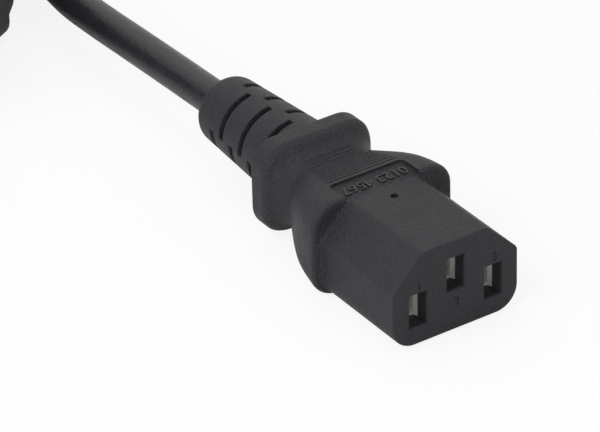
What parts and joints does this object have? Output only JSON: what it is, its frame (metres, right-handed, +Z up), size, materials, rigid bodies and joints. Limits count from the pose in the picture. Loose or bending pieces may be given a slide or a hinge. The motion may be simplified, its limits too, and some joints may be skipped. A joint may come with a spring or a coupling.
{
  "type": "c13 power connector",
  "caption": "Moulded C13 power connector with flared ribbed grip and slotted strain relief, on a round cable that is coiled and ends in a C14 plug.",
  "frame": {"origin": "centre of the connector's box, on the surface that its shoulder rests on, without the free cable and what is on it", "axes": "-Y is the way the mating face looks and plugs in, +Y the way the cable leaves, +X towards the live slot, +Z up, with the earth slot uppermost"},
  "size_m": [0.0782, 0.1867, 0.0464],
  "materials": {
    "pvc_black": "fine spark-eroded texture, satin",
    "cable_jacket": "extruded, smooth satin",
    "nylon_black": "moulded, matt",
    "tinned_brass": "tin-plated strip",
    "copper": "bright stranded copper",
    "core_blue": "extruded insulation",
    "core_green": "extruded insulation",
    "core_brown": "extruded insulation",
    "tie_black": "flat plastic over wire"
  },
  "bodies": {
    "root": {"overmould": "pvc_black", "contact_carrier": "nylon_black", "neutral_contact": "tinned_brass", "earth_contact": "tinned_brass", "live_contact": "tinned_brass", "neutral_conductor": "copper", "earth_conductor": "copper", "live_conductor": "copper", "neutral_core": "core_blue", "earth_core": "core_green", "live_core": "core_brown", "jacket_end": "cable_jacket", "cable_lead": "cable_jacket", "cable_coil": "cable_jacket", "cable_tail": "cable_jacket", "coil_tie_near": "tie_black", "coil_tie_far": "tie_black", "plug_overmould": "pvc_black", "pin_carrier": "nylon_black", "plug_neutral_pin": "tinned_brass", "plug_earth_pin": "tinned_brass", "plug_live_pin": "tinned_brass", "plug_neutral_conductor": "copper", "plug_earth_conductor": "copper", "plug_live_conductor": "copper", "plug_neutral_core": "core_blue", "plug_earth_core": "core_green", "plug_live_core": "core_brown", "plug_jacket_end": "cable_jacket"}
  },
  "joints": []
}
